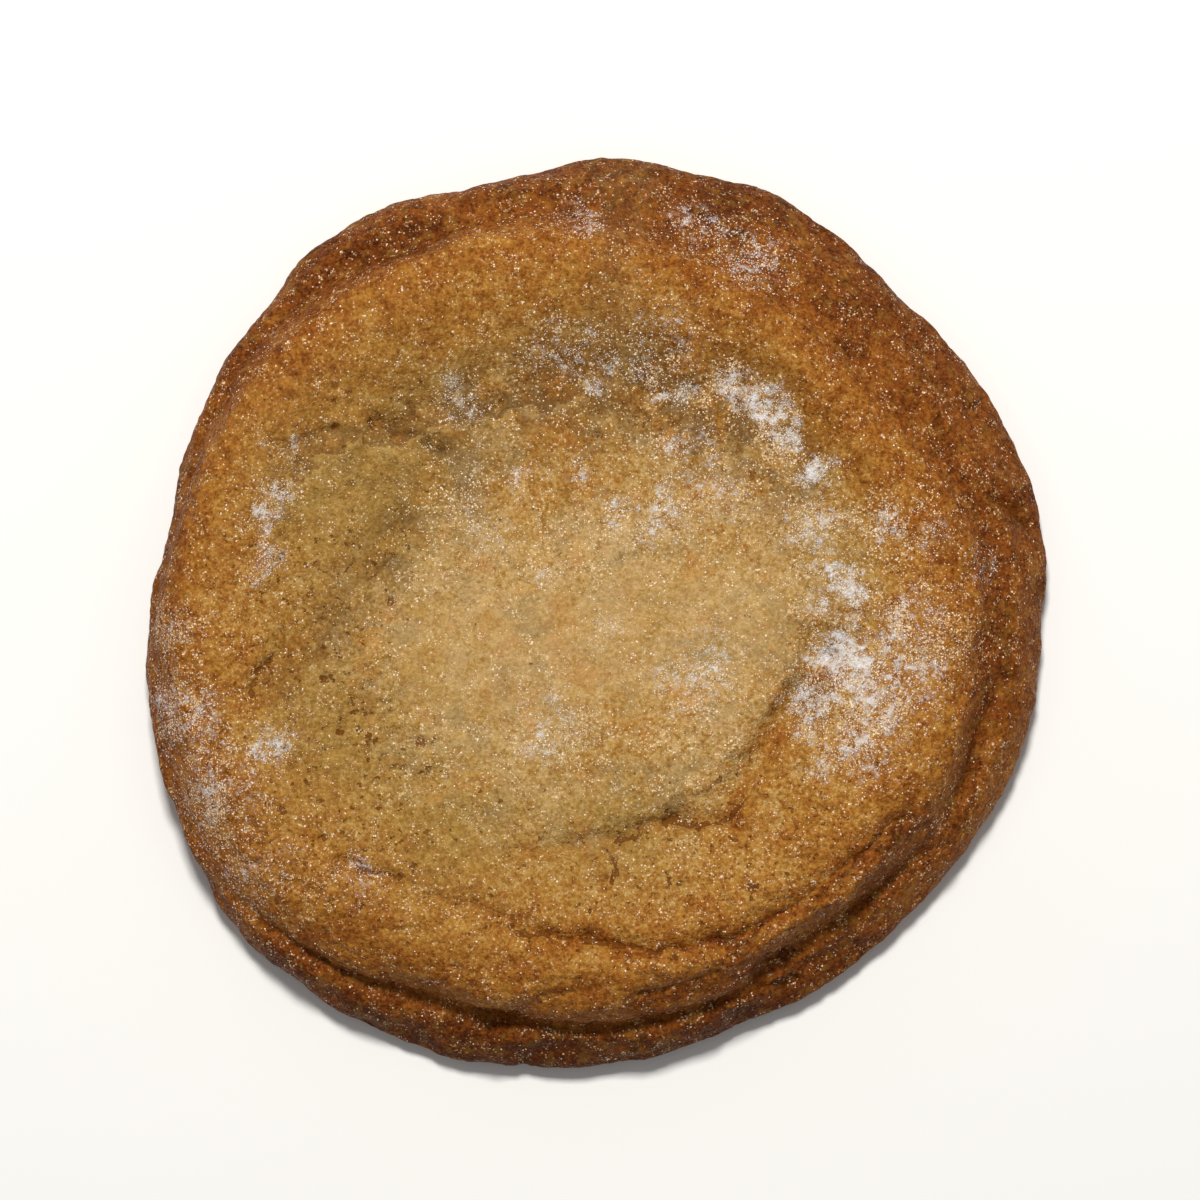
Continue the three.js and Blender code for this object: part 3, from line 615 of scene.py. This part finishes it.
def browning_and_shade(x, y, at):
    """How far the crust is browned, 0 pale to 1 dark: by the distance over the crust, the angle, the
    browned places, random bumps of two sizes, and more in the wrinkles and most in their creases. Part
    of it is painted shade: in the creases, in the dip under the ring's upper inner wall and at the bottom
    of the rim; the paler right of the rim is painted light."""
    degrees = angle_of(x, y)
    out = np.interp(at, *zip(*BROWNING))
    ring, rim = around(BROWNING_OF_RING, degrees), around(RIM_BROWNING_AND_SHADE, degrees)
    # On the rim, partly browning and partly painted shade and painted light.
    out += ring * ramp(22, 32, at) + rim * ramp(42, 47, at)
    # Browned places, with painted shade in the upper dip.
    for cx, cy, reach, more in BROWNED_AND_SHADED:
        out += more * spot(x, y, cx, cy, reach)
    out += 0.05 * flat_bumps(6, x, y, 71, 0, 3) + 0.07 * flat_bumps(2.3, x, y, 13, 0, 8)
    sideways = strayed(x, y, 2.4, 0.8)
    broken = np.clip(0.6 + flat_bumps(2.9, x, y, 0, 0, 5), 0, 1)
    # Darker along the wrinkles and most in their creases: partly browning, partly painted shade.
    for path, width, depth in WRINKLES:
        away = from_path(path, *sideways)
        out += 0.2 * depth * bell(away / (1.2 * width))
        out += 0.26 * depth * bell(away / 0.35) * broken
    return np.clip(out, 0, 1)


def olive(x, y, at):
    """Where the crumb is damp and greenish: the sum of bells at its places, on the inside of the ring."""
    return np.clip(sum(spot(x, y, *place) for place in OLIVE), 0, 1) * ramp(40, 33, at)


def damp_and_shade(x, y):
    """Where the crust is darker, partly damp and partly painted shade: the dip above the risen middle and
    beside its folds.
    """
    return np.clip(sum(strength * spot(x, y, *place) for *place, strength in DAMP_AND_SHADE), 0, 1)


def highest(places, x, y, widening=1.0):
    """The highest of the bells at places given as x, y, reach and strength."""
    out = np.zeros(x.shape)
    for cx, cy, reach, strength in places:
        out = np.maximum(out, strength * spot(x, y, cx, cy, widening * reach))
    return out


def powder(x, y, at):
    """How thickly the fine white sugar lies: its patches, pulled out of round and clumped by random
    bumps, and none on the side."""
    wide_x = x + 1.6 * flat_bumps(2.4, x, y, 5, 0, 9)
    wide_y = y + 1.6 * flat_bumps(2.4, x, y, 0, 5, 3)
    clumps = sum(0.25 * flat_bumps(size, x, y, 21, 6, 7) for size in (1.9, 0.9))
    return np.clip(highest(POWDER, wide_x, wide_y) * (1 + clumps), 0, 1) * ramp(49, 45, at)


def glitter(x, y, at):
    """How densely grains of sugar catch the light: more in their places, in clusters, and least on the
    smooth middle and down the side."""
    out = np.maximum(0.24 + 0.22 * ramp(25, 19, at), highest(GLITTER, x, y, 1.2))
    sizes = ((4.5, 0.34), (2, 0.55), (0.9, 0.55))
    clusters = sum(share * flat_bumps(size, x, y, 9, 2, 4) for size, share in sizes)
    bare = 0.5 * np.clip(smooth_middle(x, y, at) - 0.4, 0, 1) / 0.6
    out *= np.clip(0.95 + clusters, 0.12, 2) * (1 - bare)
    return out * (1 - 0.3 * ramp(38, 46, at)) * ramp(53, 46, at)


# ---- materials ----
# Colours as they look on a screen, 0 to 255.
# The browning ramp: its darker end also serves as painted shade.
BROWNING_AND_SHADE_COLOURS = (
    (0.0, (191, 157, 104)),
    (0.18, (181, 143, 82)),
    (0.36, (170, 119, 51)),
    (0.52, (159, 101, 38)),
    (0.7, (138, 77, 24)),
    (0.88, (110, 56, 16)),
    (1.0, (80, 36, 9)),
)
OLIVE_CRUMB, GOLDEN, REDDISH = (150, 121, 62), (184, 138, 58), (140, 74, 30)
HONEY_BROWN, GREY_GOLD = (186, 126, 58), (156, 132, 90)
# Painted shade outside the torn edge, a painted highlight on its lip, painted shade in the pores and pits.
TORN_PAINTED_SHADE, TORN_LIP_HIGHLIGHT, PORE_SHADE = (102, 76, 44), (200, 170, 108), (96, 48, 8)
# Sugar flecks with painted glints, and a painted sparkle.
WARM_SUGAR_AND_GLINT, WHITE_SUGAR_AND_GLINT, PAINTED_SPARKLE = (234, 204, 162), (226, 223, 222), (252, 234, 210)
WHITE_SUGAR = (218, 219, 221)
WETNESS_AND_SHADE = (0.42, 0.4, 0.46, 1)  # what damp and painted shade leave of each colour


def srgb(r, g, b):
    """A colour given as 0 to 255 on a screen, as the linear values that shaders take."""
    linear = (c / 255 / 12.92 if c < 10 else ((c / 255 + 0.055) / 1.055) ** 2.4 for c in (r, g, b))
    return (*linear, 1)


def give(tree, value, socket):
    """Links a socket to an input, or sets the input to a value."""
    if isinstance(value, bpy.types.NodeSocket):
        tree.links.new(value, socket)
    else:
        socket.default_value = value


def node(tree, kind, links=(), **settings):
    """One shader node: settings name its properties, links give each input a socket or a value."""
    made = tree.nodes.new("ShaderNode" + kind)
    for key, value in settings.items():
        setattr(made, key, value)
    for key, value in dict(links).items():
        give(tree, value, made.inputs[key])
    return made


class Nodes:
    """Makes the nodes of one tree. The sums and noises take sockets or plain values and give the made
    node's output, so that the calls nest."""

    def __init__(self, tree):
        self.tree = tree
        self.place = self.add("TexCoord").outputs["Object"]

    def add(self, kind, links=(), **settings):
        """One node of this tree."""
        return node(self.tree, kind, links, **settings)

    def maths(self, operation, *values):
        """A sum on numbers."""
        return self.add("Math", enumerate(values), operation=operation).outputs[0]

    def vector(self, operation, *values):
        """A sum on vectors."""
        return self.add("VectorMath", enumerate(values), operation=operation).outputs[0]

    def times(self, a, b):
        """a times b."""
        return self.maths("MULTIPLY", a, b)

    def plus(self, total, *others):
        """The values added up."""
        for value in others:
            total = self.maths("ADD", total, value)
        return total

    def swing(self, noise, size):
        """A noise of 0 to 1 as a swing round zero: size times what it is over a half."""
        return self.times(self.maths("SUBTRACT", noise, 0.5), size)

    def between(self, low, high, value, to=(0, 1)):
        """value taken from low..high to the range `to`, held at its ends and eased."""
        links = {"Value": value, "From Min": low, "From Max": high, "To Min": to[0], "To Max": to[1]}
        return self.add("MapRange", links, interpolation_type="SMOOTHSTEP").outputs["Result"]

    def mixed(self, share, a, b, blend="MIX"):
        """Colour a with this share of colour b in it."""
        made = self.add("Mix", data_type="RGBA", blend_type=blend)
        for key, value in ((0, share), (6, a), (7, b)):
            give(self.tree, value, made.inputs[key])
        return made.outputs[2]

    def stored(self, name):
        """What was painted on the mesh under this name."""
        return self.add("Attribute", attribute_name=name).outputs["Fac"]

    def shifted(self, *shift):
        """Object coordinates moved by a shift, so that two noises don't match."""
        return self.vector("ADD", self.place, shift)

    def grain(self, place, scale, detail=3.0, rough=0.6):
        """Noise with features of about 1/scale metres."""
        links = {"Vector": place, "Scale": scale, "Detail": detail, "Roughness": rough}
        return self.add("TexNoise", links).outputs[0]

    def cells(self, place, scale):
        """A node with cells of about 1/scale metres, and each cell's three random numbers."""
        made = self.add("TexVoronoi", {"Vector": place, "Scale": scale})
        return made, self.add("SeparateColor", {0: made.outputs["Color"]}).outputs


def new_material(name):
    """A new material, its node tree and its main shader's inputs."""
    material = bpy.data.materials.new(name)
    material.use_nodes = True
    return material, material.node_tree, material.node_tree.nodes["Principled BSDF"].inputs


class Crumb:
    """The crust's crumb as noise in three sizes, coarse, middling and fine, and cells of one crumb each.
    The smooth middle is less uneven."""

    def __init__(self, n):
        self.coarse = n.grain(n.place, 420, 4, 0.62)
        self.mid = n.grain(n.shifted(0.05, 0.31, 0.17), 900, 3, 0.6)
        self.fine = n.grain(n.place, 2600, 2, 0.6)
        self.cells, self.lots = n.cells(n.place, 6200)
        self.uneven = n.maths("SUBTRACT", 1, n.times(n.stored("smooth_middle"), 0.45))


def browned_and_shaded_colour(n, browned_and_shaded, crumb, uneven_tone):
    """Pale gold to dark brown by the browning and painted shade, which swings from crumb to crumb."""
    swings = n.plus(
        n.swing(crumb.coarse, 0.5),
        n.swing(crumb.mid, 0.78),
        n.swing(crumb.fine, 1.0),
        n.swing(crumb.lots[0], 0.24),
    )
    brown = n.add("ValToRGB", {"Fac": n.plus(browned_and_shaded, n.times(swings, uneven_tone))})
    stops = brown.color_ramp.elements
    while len(stops) < len(BROWNING_AND_SHADE_COLOURS):
        stops.new(0.5)
    for stop, (position, tone) in zip(stops, BROWNING_AND_SHADE_COLOURS):
        stop.position, stop.color = position, srgb(*tone)
    return brown.outputs["Color"]


def patched(n, colour, edge, ragged, crumb, uneven_tone):
    """Patches with ragged edges: olive where the crumb is damp, golden and reddish everywhere, honey-brown
    and grey-gold in the middle. Then the damp places are darkened, partly as painted shade, and each crumb
    is lit its own way."""
    patchy = n.grain(n.place, 190, 7, 0.68)
    patchy2 = n.grain(n.shifted(0.21, 0.13, 0.07), 240, 7, 0.68)
    middle = n.stored("middle")
    damp_crumb = n.times(n.stored("olive"), n.between(0.47, 0.53, edge, (0.55, 1)))
    colour = n.mixed(n.times(damp_crumb, 0.6), colour, srgb(*OLIVE_CRUMB))
    colour = n.mixed(n.times(n.between(0.52, 0.6, ragged), 0.18), colour, srgb(*GOLDEN))
    colour = n.mixed(n.times(n.between(0.48, 0.4, ragged), 0.18), colour, srgb(*REDDISH))
    honey = n.times(n.between(0.5, 0.62, patchy), middle)
    colour = n.mixed(n.times(honey, 0.36), colour, srgb(*HONEY_BROWN))
    grey_gold = n.times(n.between(0.52, 0.62, patchy2), middle)
    colour = n.mixed(n.times(grey_gold, 0.45), colour, srgb(*GREY_GOLD))
    # Damp places darkened, partly as painted shade.
    wet_and_shaded = n.times(n.stored("damp_and_shade"), n.between(0.42, 0.52, patchy2, (0.35, 1)))
    colour = n.mixed(n.times(wet_and_shaded, 0.85), colour, WETNESS_AND_SHADE, "MULTIPLY")
    dips = n.times(n.plus(n.swing(crumb.fine, -0.8), n.swing(crumb.mid, -0.5)), uneven_tone)
    light = n.plus(0.865, n.swing(crumb.lots[1], 0.12), dips)
    grey = n.add("CombineColor", {channel: light for channel in range(3)}).outputs[0]
    return n.mixed(1.0, colour, grey, "MULTIPLY")


def torn(n, colour, edge):
    """The torn edge of the risen middle: darker outside it, partly damp and partly painted shade, and a
    painted highlight on its lip.
    """
    crag = n.stored("crag")
    outside = n.times(n.times(n.between(0.5, 0.46, edge), n.between(0.15, 0.42, edge)), crag)
    lip = n.times(n.times(n.between(0.5, 0.53, edge), n.between(0.66, 0.56, edge)), crag)
    # Painted shade outside the torn edge, a painted highlight on its lip.
    colour = n.mixed(n.times(outside, 0.5), colour, srgb(*TORN_PAINTED_SHADE))
    return n.mixed(n.times(lip, 0.25), colour, srgb(*TORN_LIP_HIGHLIGHT))


def open_pores(n):
    """Where the pores and pits are open, which also marks where their painted shade goes: where a ragged
    noise, raised in open crumb and in pits, rises past a threshold."""
    holes = n.grain(n.shifted(0.37, 0.02, 0.33), 1100, 4, 0.65)
    raised = n.plus(holes, n.times(n.stored("open_crumb"), 0.08), n.times(n.stored("pit"), 0.25))
    return n.between(0.69, 0.735, raised)


def flecks_and_glints(n, colour, lying, crumb):
    """Grains of sugar and painted glints: pale flecks, each within one cell, chosen by lot where the
    glitter is and in loose knots, a few of them with a painted sparkle. Returns the colour and where the
    flecks are."""
    sugary = n.maths("MAXIMUM", n.stored("glitter"), n.plus(n.times(lying, 0.7), 0.3))
    knots = n.swing(n.grain(n.shifted(0.29, 0.03, 0.41), 650, 5, 0.7), 2.3)
    dots, lots = n.cells(n.shifted(0.07, 0.19, 0.53), 5200)
    chosen = n.between(1.0, 1.12, n.plus(lots[0], knots, n.times(n.times(sugary, sugary), 0.62), 0.06))
    ragged = n.plus(dots.outputs["Distance"], n.swing(crumb.fine, 1.2))
    fleck = n.times(chosen, n.between(0.64, 0.42, ragged))
    # A painted sparkle on a few of the flecks.
    sparkle = n.times(fleck, n.between(0.88, 0.95, lots[1]))
    # Flecks: sugar grains with painted glints.
    sugar = n.mixed(lying, srgb(*WARM_SUGAR_AND_GLINT), srgb(*WHITE_SUGAR_AND_GLINT))
    colour = n.mixed(n.times(fleck, n.plus(0.2, n.times(lots[2], 0.53))), colour, sugar)
    return n.mixed(n.times(sparkle, 0.7), colour, srgb(*PAINTED_SPARKLE)), fleck


def dusting(n, lying, crumb):
    """Where fine white sugar lies on the crust, thinning out raggedly."""
    clots = n.grain(n.shifted(0.17, 0.23, 0.47), 1000, 6, 0.8)
    patches = n.between(0.05, 0.23, n.plus(n.swing(clots, 1), n.times(lying, 0.21)))
    fog = n.times(patches, n.between(0.02, 0.3, lying))
    return n.times(fog, n.plus(0.72, n.swing(crumb.fine, 2)))


def crumb_normal(n, crumb, pore, fleck, dusty):
    """The normal: a bump from the crumb, the pores and the sugar, and each crumb tilted at random."""
    height = n.plus(n.times(crumb.coarse, 0.32), n.times(crumb.mid, 0.36), n.times(crumb.fine, 0.18))
    height = n.times(n.plus(height, n.times(pore, -0.12)), crumb.uneven)
    height = n.plus(height, n.times(fleck, 0.03), n.times(dusty, 0.03))
    bump = n.add("Bump", {"Height": height, "Distance": 0.0008})
    centred = n.vector("SUBTRACT", crumb.cells.outputs["Color"], (0.5, 0.5, 0.5))
    tilt = n.add("VectorMath", {0: centred, "Scale": n.times(crumb.uneven, 0.22)}, operation="SCALE")
    return n.vector("NORMALIZE", n.vector("ADD", bump.outputs["Normal"], tilt.outputs[0]))


def crust_material():
    """Baked crust: the browning with painted shade, the patches, the torn edge with its painted shade and
    highlight, pores with painted shade, flecks of sugar with painted glints and white sugar, one over the
    other. A few crumbs are glazed with melted sugar."""
    material, tree, shader = new_material("baked_crust")
    n = Nodes(tree)
    crumb = Crumb(n)
    browned_and_shaded, lying = n.stored("browning_and_shade"), n.stored("powder")
    uneven_tone = n.times(crumb.uneven, n.plus(1.1, n.times(browned_and_shaded, -0.6)))
    ragged = n.grain(n.shifted(0.11, 0.43, 0.27), 620, 5, 0.65)
    edge = n.plus(n.stored("torn"), n.swing(ragged, 0.85))
    colour = browned_and_shaded_colour(n, browned_and_shaded, crumb, uneven_tone)
    colour = patched(n, colour, edge, ragged, crumb, uneven_tone)
    colour = torn(n, colour, edge)
    pore = open_pores(n)
    # Painted shade in the pores and pits.
    colour = n.mixed(n.times(pore, 0.75), colour, srgb(*PORE_SHADE))
    colour, fleck = flecks_and_glints(n, colour, lying, crumb)
    dusty = dusting(n, lying, crumb)
    glazed = n.between(0.7, 0.8, crumb.lots[1])
    matt = n.between(0.3, 0.7, crumb.coarse, (0.66, 0.8))
    rough = n.plus(matt, n.times(glazed, -0.36), n.times(dusty, 0.2))
    give(tree, n.mixed(dusty, colour, srgb(*WHITE_SUGAR)), shader["Base Color"])
    give(tree, rough, shader["Roughness"])
    give(tree, crumb_normal(n, crumb, pore, fleck, dusty), shader["Normal"])
    shader["Specular IOR Level"].default_value = 0.1
    shader["Specular Tint"].default_value = (1, 0.8, 0.55, 1)
    return material


def grain_tints():
    """A node group shared by the two sugars: a colour between pale and warm that changes from grain to
    grain, as cells of noise smaller than the grains' spacing do, and a roughness that goes with it."""
    group = bpy.data.node_groups.new("grain_tints", "ShaderNodeTree")
    for name in ("Pale", "Warm"):
        group.interface.new_socket(name, in_out="INPUT", socket_type="NodeSocketColor")
    for name in ("Dull", "Glossy"):
        group.interface.new_socket(name, in_out="INPUT", socket_type="NodeSocketFloat")
    group.interface.new_socket("Colour", in_out="OUTPUT", socket_type="NodeSocketColor")
    group.interface.new_socket("Roughness", in_out="OUTPUT", socket_type="NodeSocketFloat")
    given, result = group.nodes.new("NodeGroupInput").outputs, group.nodes.new("NodeGroupOutput").inputs
    n = Nodes(group)
    _, lots = n.cells(n.place, 2500)
    tint = n.between(0.02, 0.5, n.times(n.grain(n.place, 9000, 2), lots[0]))
    give(group, n.mixed(tint, given["Warm"], given["Pale"]), result["Colour"])
    links = {"Value": lots[1], "To Min": given["Glossy"], "To Max": given["Dull"]}
    give(group, n.add("MapRange", links).outputs["Result"], result["Roughness"])
    return group


def sugar_material(name, pale, warm, dull, glossy):
    """Sugar whose grains go from pale and dull to warm and glossy."""
    material, tree, shader = new_material(name)
    values = {"Pale": srgb(*pale), "Warm": srgb(*warm), "Dull": dull, "Glossy": glossy}
    tints = node(tree, "Group", values, node_tree=TINTS)
    give(tree, tints.outputs["Colour"], shader["Base Color"])
    give(tree, tints.outputs["Roughness"], shader["Roughness"])
    return material


# ---- loose sugar ----
CRYSTALS, CRYSTAL_SIZES = 4000, (0.1, 0.2)
DUST_GRAINS, DUST_SIZES = 16000, (0.06, 0.14)
SUGAR_SEED = 11
LEAST_CHANCE = 1e-9  # keeps every face in the draw
CUBE = np.array([(i, j, k) for i in (-1, 1) for j in (-1, 1) for k in (-1, 1)], float)
CUBE_FACES = np.array(
    [(0, 1, 3), (0, 3, 2), (4, 6, 7), (4, 7, 5), (0, 4, 5), (0, 5, 1),
     (2, 3, 7), (2, 7, 6), (0, 2, 6), (0, 6, 4), (1, 5, 7), (1, 7, 3)]
)  # fmt: skip


def scattered(points, faces, chance, count, rng):
    """Random places on the skin: a face is picked by its area times its chance, then a place on it.
    Returns the places and the skin's normals there."""
    a, b, c = (points[faces[:, k]] for k in range(3))
    normal = np.cross(b - a, c - a)
    area = np.linalg.norm(normal, axis=1)
    weight = area * chance[faces].mean(1)
    picked = rng.choice(len(faces), count, p=weight / weight.sum())
    s, t = rng.uniform(size=(2, count))
    s, t = np.where(s + t > 1, 1 - s, s), np.where(s + t > 1, 1 - t, t)
    place = a[picked] + s[:, None] * (b - a)[picked] + t[:, None] * (c - a)[picked]
    return place, normal[picked] / area[picked, None]


def unit(vectors):
    """Each vector made one long."""
    return vectors / np.linalg.norm(vectors, axis=1)[:, None]


def grains(name, place, normal, size, rng):
    """One mesh of many grains: each is a cube, stretched at random, spun at random about the skin's
    normal, tipped a little and sunk a little into the skin."""
    count = len(place)
    stretch = size[:, None] / 2 * rng.uniform(0.6, 1.0, (count, 3))
    up = unit(normal + 0.3 * rng.normal(size=(count, 3)))
    side = unit(np.cross(up, rng.normal(size=(count, 3))))
    axes = np.stack([side, np.cross(up, side), up], 1)
    corners = np.einsum("nab,nva->nvb", axes, CUBE[None] * stretch[:, None])
    corners += (place - normal * size[:, None] * 0.3)[:, None]
    all_faces = CUBE_FACES[None] + len(CUBE) * np.arange(count)[:, None, None]
    return mesh_object(name, corners.reshape(-1, 3) * MM, all_faces.reshape(-1, 3))


def sprinkled(name, skin, chance, count, sizes, material, rng):
    """Grains scattered over the skin, of random sizes, as one piece."""
    place, normal = scattered(*skin, chance + LEAST_CHANCE, count, rng)
    piece = grains(name, place, normal, rng.uniform(*sizes, count), rng)
    piece.data.materials.append(material)
    return piece


# ---- the pieces ----
TINTS = grain_tints()
points, faces, at, pit = crust_mesh()
x, y, _ = points.T
inwards, shows = torn_edge(x, y)
glittering, powdered = glitter(x, y, at), powder(x, y, at)

crust = mesh_object("crust", points * MM, faces)
crust.data.polygons.foreach_set("use_smooth", np.ones(len(faces), bool))
# Browning, with painted shade in the creases, the upper dip and at the bottom of the rim.
paint(crust.data, "browning_and_shade", browning_and_shade(x, y, at))
paint(crust.data, "olive", olive(x, y, at))
# Damp crumb, and painted shade in the upper dip and beside the folds.
paint(crust.data, "damp_and_shade", damp_and_shade(x, y))
paint(crust.data, "glitter", glittering)
paint(crust.data, "smooth_middle", smooth_middle(x, y, at))
paint(crust.data, "middle", ramp(27, 21, at))
paint(crust.data, "powder", powdered)
paint(crust.data, "open_crumb", crumbly(x, y, at))
paint(crust.data, "pit", ramp(0.1, 0.5, pit))
paint(crust.data, "torn", 1 - shows * (1 - np.clip(0.5 + inwards / 6, 0, 1)))
paint(crust.data, "crag", shows * ramp(170, 150, angle_of(x, y)))
crust.data.materials.append(crust_material())
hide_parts("cookie")

rng = np.random.default_rng(SUGAR_SEED)
coarse_sugar = sugar_material("sugar_crystal", (250, 236, 214), (238, 204, 156), 0.5, 0.25)
fine_sugar = sugar_material("fine_sugar", (234, 230, 224), (222, 204, 186), 0.65, 0.45)
skin = points, faces
crystals = sprinkled("sugar_crystals", skin, glittering, CRYSTALS, CRYSTAL_SIZES, coarse_sugar, rng)
dust = sprinkled("sugar_dust", skin, powdered**1.2, DUST_GRAINS, DUST_SIZES, fine_sugar, rng)
for piece in (crust, crystals, dust):
    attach(piece, "root")


# ---- stage, in metres ----
def pale_floor(half):
    """A square floor, matt and almost white."""
    mesh = bpy.data.meshes.new("floor")
    corners = [(-half, -half, 0), (half, -half, 0), (half, half, 0), (-half, half, 0)]
    mesh.from_pydata(corners, [], [(0, 1, 2, 3)])
    material, _, shader = new_material("pale_floor")
    shader["Base Color"].default_value = (0.86, 0.86, 0.85, 1)
    shader["Roughness"].default_value = 0.9
    mesh.materials.append(material)
    return shown("floor", mesh)


def softbox(name, place, target, size, power, colour):
    """A square lamp at a place, turned to a target."""
    lamp = bpy.data.lights.new(name, "AREA")
    lamp.size, lamp.energy, lamp.color = size, power, colour
    box = shown(name, lamp)
    box.location = place
    box.rotation_euler = (Vector(target) - Vector(place)).to_track_quat("-Z", "Y").to_euler()


def even_light(strength):
    """White light from all sides."""
    world = bpy.data.worlds.new("studio")
    world.use_nodes = True
    background = world.node_tree.nodes["Background"].inputs
    background["Color"].default_value = (1, 1, 1, 1)
    background["Strength"].default_value = strength
    bpy.context.scene.world = world


def camera_from_above(aim, elevation, distance, field):
    """A camera at an elevation in degrees and a distance from its aim, that sees a field this wide."""
    up = math.radians(elevation)
    camera = shown("camera", bpy.data.cameras.new("camera"))
    camera.location = aim + distance * Vector((0, -math.cos(up), math.sin(up)))
    camera.rotation_euler = (math.radians(90 - elevation), 0, 0)
    camera.data.sensor_width = sensor = 36
    camera.data.lens = sensor * distance / field
    camera.data.clip_start, camera.data.clip_end = 0.01, 20
    bpy.context.scene.camera = camera


pale_floor(half=3)
softbox("key", (-0.03, 0.31, 0.67), target=(0, 0, 0.005), size=0.14, power=5.5, colour=(1, 0.97, 0.92))
even_light(strength=0.29)
bpy.context.scene.view_settings.view_transform = "Standard"
camera_from_above(Vector((0.00035, 0.00095, 0.004)), elevation=86.0, distance=0.6, field=0.12)

bpy.context.view_layer.update()
